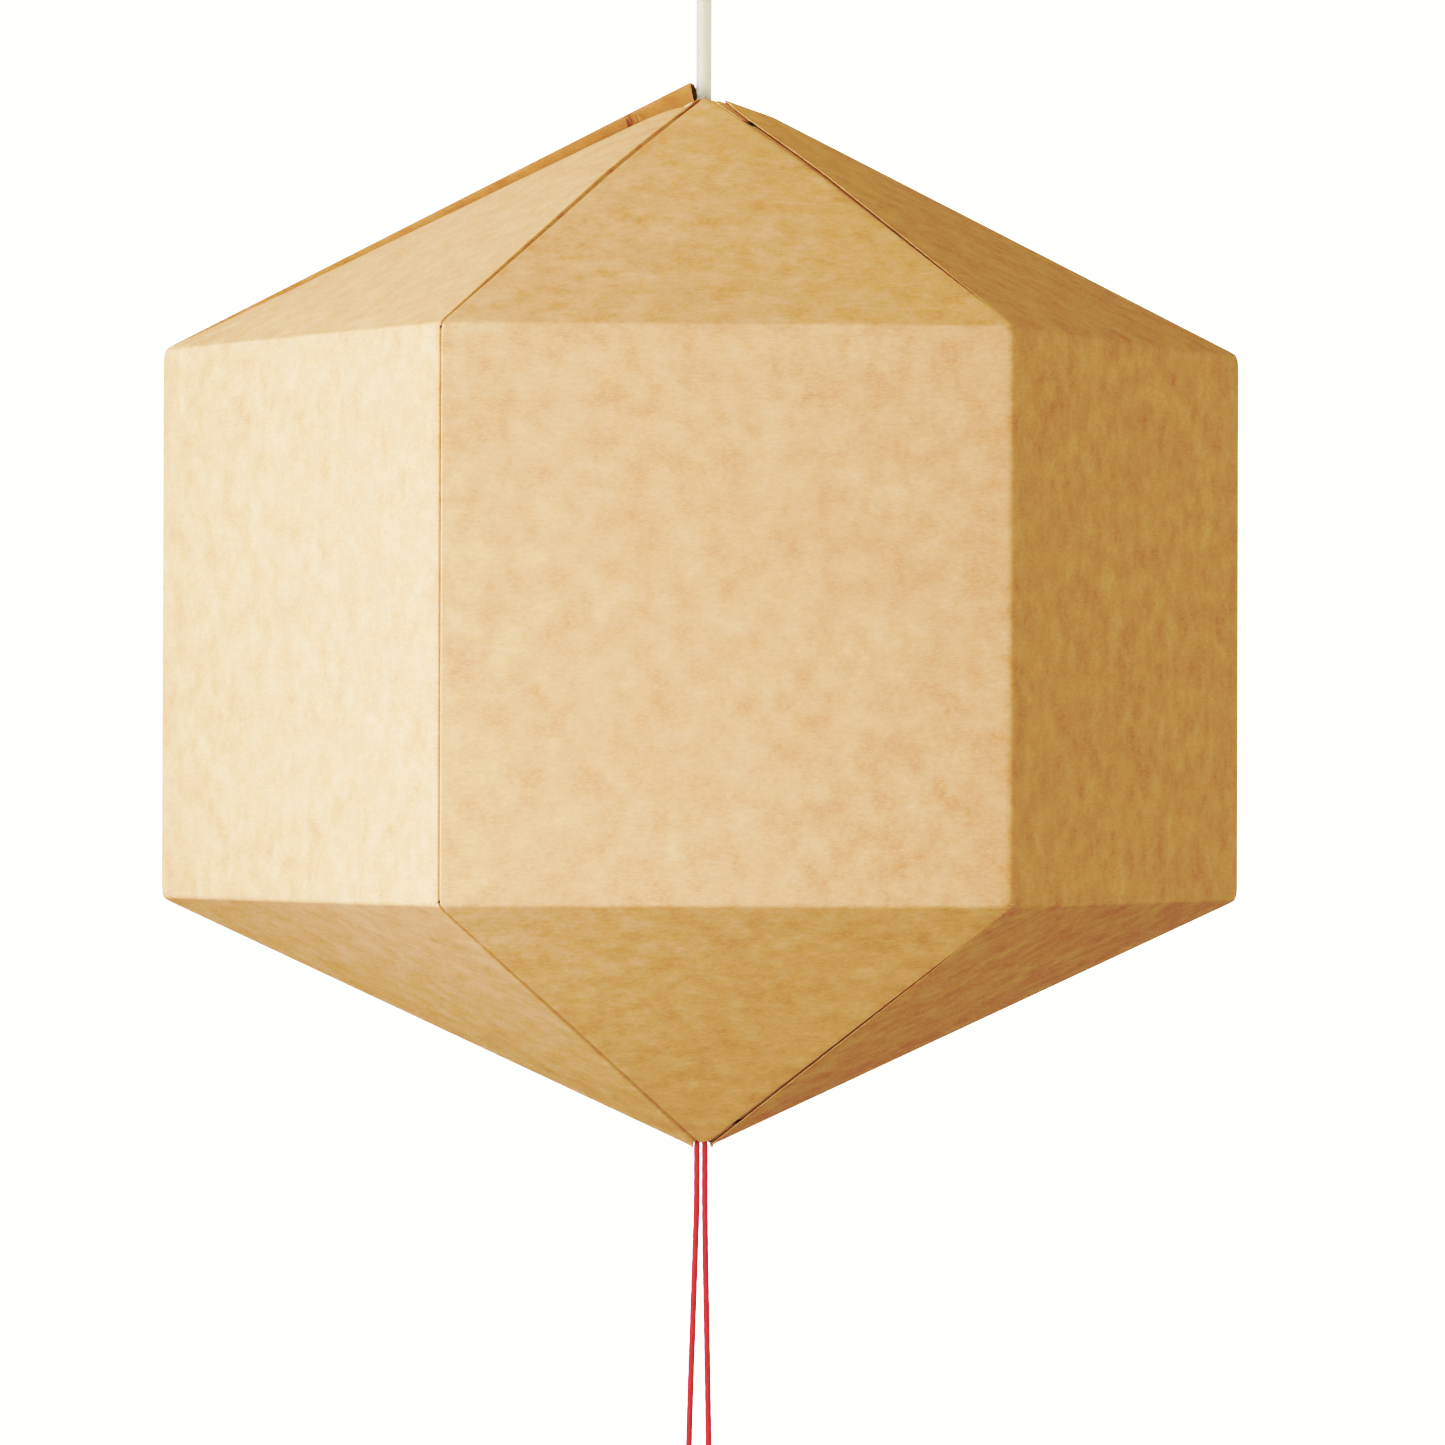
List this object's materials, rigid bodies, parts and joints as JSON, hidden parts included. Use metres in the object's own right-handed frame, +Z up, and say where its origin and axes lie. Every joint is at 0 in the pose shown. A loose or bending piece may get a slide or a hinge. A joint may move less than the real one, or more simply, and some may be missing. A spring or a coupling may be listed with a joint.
{
  "type": "paper pendant lantern",
  "caption": "Hexagonal kraft card pendant lantern with folding pyramid ends, hung on a mains cable from a ceiling rose, with lampholder, bulb and red cord tails.",
  "frame": {"origin": "centre of the ceiling rose's top face, where it meets the ceiling", "axes": "+Z up out of the ceiling face, -Y towards the front panel, +X to the front panel's right as seen from in front"},
  "size_m": [0.43, 0.3724, 0.7213],
  "materials": {
    "kraft_card": "matt uncoated kraft card",
    "white_flex": "satin PVC sheath",
    "red_cord": "smooth thin cord",
    "white_plastic": "satin moulded plastic",
    "grey_plastic": "moulded nylon",
    "porcelain": "glazed",
    "brass": "stamped brass",
    "steel": "zinc plated",
    "aluminium": "rolled thread",
    "opal": "frosted diffuser",
    "circuit_board": "white solder mask",
    "black_glass": "vitrite",
    "core_brown": "PVC insulation",
    "core_blue": "PVC insulation"
  },
  "bodies": {
    "ceiling_rose": {"rose_base_plate": "white_plastic", "rose_cover": "white_plastic", "rose_cover_screw_right": "steel", "rose_cover_screw_left": "steel", "rose_terminal_block": "grey_plastic", "rose_terminal_screw_live": "brass", "rose_terminal_screw_neutral": "brass", "rose_cord_grip": "white_plastic", "rose_grip_screw": "white_plastic", "cable_end_in_rose": "white_flex", "rose_core_live": "core_brown", "rose_core_neutral": "core_blue"},
    "cable_bush": {"cable_bush": "white_flex"},
    "pendant": {"cable_sleeve": "white_flex", "mains_cable": "white_flex", "lampholder_cap": "white_plastic", "lampholder_body": "white_plastic", "lampholder_insert": "porcelain", "lampholder_screw_shell": "brass", "lampholder_centre_contact": "brass", "lampholder_terminal_live": "brass", "lampholder_terminal_neutral": "brass", "lampholder_core_live": "core_brown", "lampholder_core_neutral": "core_blue"},
    "bulb": {"bulb_tip_contact": "brass", "bulb_insulator": "black_glass", "bulb_screw_cap": "aluminium", "bulb_collar": "white_plastic", "bulb_globe": "opal", "bulb_led_board": "circuit_board"},
    "shade": {"shell_front": "kraft_card", "shell_back": "kraft_card"},
    "top_flap_front": {"top_flap_front": "kraft_card"},
    "top_flap_front_right": {"top_flap_front_right": "kraft_card"},
    "top_flap_back_right": {"top_flap_back_right": "kraft_card"},
    "top_flap_back": {"top_flap_back": "kraft_card"},
    "top_flap_back_left": {"top_flap_back_left": "kraft_card"},
    "top_flap_front_left": {"top_flap_front_left": "kraft_card"},
    "bottom_flap_front": {"bottom_flap_front": "kraft_card"},
    "bottom_flap_front_right": {"bottom_flap_front_right": "kraft_card"},
    "bottom_flap_back_right": {"bottom_flap_back_right": "kraft_card"},
    "bottom_flap_back": {"bottom_flap_back": "kraft_card"},
    "bottom_flap_back_left": {"bottom_flap_back_left": "kraft_card"},
    "bottom_flap_front_left": {"bottom_flap_front_left": "kraft_card"},
    "red_cord": {"cord_inner_knot": "red_cord", "cord_tail_left": "red_cord", "cord_tail_right": "red_cord", "cord_end_knot_left": "red_cord", "cord_end_knot_right": "red_cord"}
  },
  "joints": [
    {"name": "cable_swing_x", "type": "hinge", "parent": "ceiling_rose", "child": "cable_bush", "pos_m": [0, 0, -0.036], "axis": [1, 0, 0], "range_deg": [-12, 12]},
    {"name": "cable_swing_y", "type": "hinge", "parent": "cable_bush", "child": "pendant", "pos_m": [0, 0, -0.036], "axis": [0, 1, 0], "range_deg": [-12, 12]},
    {"name": "bulb_screw_out", "type": "slide", "parent": "pendant", "child": "bulb", "axis": [0, 0, -1], "range_m": [0, 0.03]},
    {"name": "shade_turn", "type": "hinge", "parent": "pendant", "child": "shade", "pos_m": [0, 0, -0.098], "axis": [0, 0, 1], "continuous": true},
    {"name": "top_flap_front_fold", "type": "hinge", "parent": "shade", "child": "top_flap_front", "pos_m": [0, -0.18619, -0.206], "axis": [1, 0, 0], "range_deg": [0, 120]},
    {"name": "top_flap_front_right_fold", "type": "hinge", "parent": "shade", "child": "top_flap_front_right", "pos_m": [0.16125, -0.0931, -0.206], "axis": [0.5, 0.866, 0], "range_deg": [0, 120]},
    {"name": "top_flap_back_right_fold", "type": "hinge", "parent": "shade", "child": "top_flap_back_right", "pos_m": [0.16125, 0.0931, -0.206], "axis": [-0.5, 0.866, 0], "range_deg": [0, 120]},
    {"name": "top_flap_back_fold", "type": "hinge", "parent": "shade", "child": "top_flap_back", "pos_m": [0, 0.18619, -0.206], "axis": [-1, 0, 0], "range_deg": [0, 120]},
    {"name": "top_flap_back_left_fold", "type": "hinge", "parent": "shade", "child": "top_flap_back_left", "pos_m": [-0.16125, 0.0931, -0.206], "axis": [-0.5, -0.866, 0], "range_deg": [0, 120]},
    {"name": "top_flap_front_left_fold", "type": "hinge", "parent": "shade", "child": "top_flap_front_left", "pos_m": [-0.16125, -0.0931, -0.206], "axis": [0.5, -0.866, 0], "range_deg": [0, 120]},
    {"name": "bottom_flap_front_fold", "type": "hinge", "parent": "shade", "child": "bottom_flap_front", "pos_m": [0, -0.18619, -0.423], "axis": [-1, 0, 0], "range_deg": [0, 120]},
    {"name": "bottom_flap_front_right_fold", "type": "hinge", "parent": "shade", "child": "bottom_flap_front_right", "pos_m": [0.16125, -0.0931, -0.423], "axis": [-0.5, -0.866, 0], "range_deg": [0, 120]},
    {"name": "bottom_flap_back_right_fold", "type": "hinge", "parent": "shade", "child": "bottom_flap_back_right", "pos_m": [0.16125, 0.0931, -0.423], "axis": [0.5, -0.866, 0], "range_deg": [0, 120]},
    {"name": "bottom_flap_back_fold", "type": "hinge", "parent": "shade", "child": "bottom_flap_back", "pos_m": [0, 0.18619, -0.423], "axis": [1, 0, 0], "range_deg": [0, 120]},
    {"name": "bottom_flap_back_left_fold", "type": "hinge", "parent": "shade", "child": "bottom_flap_back_left", "pos_m": [-0.16125, 0.0931, -0.423], "axis": [0.5, 0.866, 0], "range_deg": [0, 120]},
    {"name": "bottom_flap_front_left_fold", "type": "hinge", "parent": "shade", "child": "bottom_flap_front_left", "pos_m": [-0.16125, -0.0931, -0.423], "axis": [-0.5, 0.866, 0], "range_deg": [0, 120]},
    {"name": "red_cord_hang", "type": "hinge", "parent": "bottom_flap_front", "child": "red_cord", "pos_m": [0, 0, -0.5168], "axis": [-1, 0, 0], "range_deg": [-120, 0]}
  ],
  "couplings": [
    {"joint": "top_flap_front_right_fold", "follows": "top_flap_front_fold", "ratio": 1},
    {"joint": "top_flap_back_right_fold", "follows": "top_flap_front_fold", "ratio": 1},
    {"joint": "top_flap_back_fold", "follows": "top_flap_front_fold", "ratio": 1},
    {"joint": "top_flap_back_left_fold", "follows": "top_flap_front_fold", "ratio": 1},
    {"joint": "top_flap_front_left_fold", "follows": "top_flap_front_fold", "ratio": 1},
    {"joint": "bottom_flap_front_right_fold", "follows": "bottom_flap_front_fold", "ratio": 1},
    {"joint": "bottom_flap_back_right_fold", "follows": "bottom_flap_front_fold", "ratio": 1},
    {"joint": "bottom_flap_back_fold", "follows": "bottom_flap_front_fold", "ratio": 1},
    {"joint": "bottom_flap_back_left_fold", "follows": "bottom_flap_front_fold", "ratio": 1},
    {"joint": "bottom_flap_front_left_fold", "follows": "bottom_flap_front_fold", "ratio": 1},
    {"joint": "red_cord_hang", "follows": "bottom_flap_front_fold", "ratio": -1}
  ]
}
